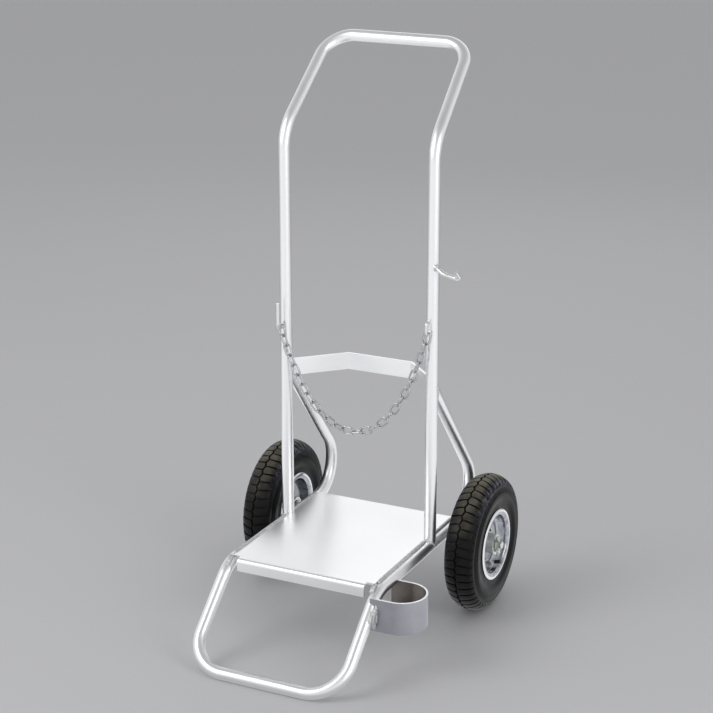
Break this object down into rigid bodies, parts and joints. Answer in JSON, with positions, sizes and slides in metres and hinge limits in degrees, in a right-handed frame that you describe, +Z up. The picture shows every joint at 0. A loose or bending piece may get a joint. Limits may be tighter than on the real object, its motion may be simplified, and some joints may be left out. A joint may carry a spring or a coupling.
{
  "type": "oxy acetylene torch cart",
  "caption": "Two-wheeled bent-tube cart that carries a pair of welding gas cylinders on a low platform, held by a chain.",
  "frame": {"origin": "middle of the cart's bounding box, on the floor", "axes": "+Z up, +Y towards the wheels and the handle, so the foot bar lies towards -Y, +X to the right seen from the front"},
  "size_m": [0.5662, 0.6987, 1.1927],
  "materials": {
    "frame_tube": "bright drawn tube, satin along its length",
    "deck_plate": "bright rolled plate, lightly scratched",
    "cradle_strip": "bright flat bar",
    "cup_sheet": "satin grey sheet steel",
    "zinc_wire": "bright zinc plate",
    "axle_steel": "turned steel, oiled",
    "fastener_zinc": "zinc plate",
    "rim_plate": "pressed steel, bright nickel plate, slightly dulled",
    "hub_steel": "zinc plated tube",
    "bearing_steel": "ground and polished",
    "tyre_rubber": "dull black moulded rubber with a brown bloom",
    "tube_rubber": "matt black butyl rubber"
  },
  "bodies": {
    "frame": {"handle_tube": "frame_tube", "base_tube": "frame_tube", "axle_tube": "frame_tube", "platform_plate": "deck_plate", "cradle_bar": "cradle_strip", "rod_cup_band": "cup_sheet", "rod_cup_floor": "cup_sheet", "chain_hook": "zinc_wire", "chain_eye": "zinc_wire", "hose_hook": "zinc_wire", "axle": "axle_steel", "axle_washers": "fastener_zinc", "split_pins": "fastener_zinc", "left_bearing_inners": "bearing_steel", "right_bearing_inners": "bearing_steel"},
    "chain": {"chain_links": "zinc_wire"},
    "left_wheel": {"left_tyre": "tyre_rubber", "left_inner_tube": "tube_rubber", "left_valve": "tube_rubber", "left_outer_rim": "rim_plate", "left_inner_rim": "rim_plate", "left_rim_bolts": "fastener_zinc", "left_rim_nuts": "fastener_zinc", "left_hub": "hub_steel", "left_bearing_outers": "bearing_steel", "left_bearing_balls": "bearing_steel"},
    "right_wheel": {"right_tyre": "tyre_rubber", "right_inner_tube": "tube_rubber", "right_valve": "tube_rubber", "right_outer_rim": "rim_plate", "right_inner_rim": "rim_plate", "right_rim_bolts": "fastener_zinc", "right_rim_nuts": "fastener_zinc", "right_hub": "hub_steel", "right_bearing_outers": "bearing_steel", "right_bearing_balls": "bearing_steel"}
  },
  "joints": [
    {"name": "left_wheel_spin", "type": "hinge", "parent": "frame", "child": "left_wheel", "pos_m": [-0.237, 0.20335, 0.146], "axis": [1, 0, 0], "continuous": true},
    {"name": "right_wheel_spin", "type": "hinge", "parent": "frame", "child": "right_wheel", "pos_m": [0.237, 0.20335, 0.146], "axis": [1, 0, 0], "continuous": true},
    {"name": "chain_swing", "type": "hinge", "parent": "frame", "child": "chain", "pos_m": [0, 0.06735, 0.62775], "axis": [-0.9971, 0, -0.0766], "range_deg": [-3, 80]}
  ]
}
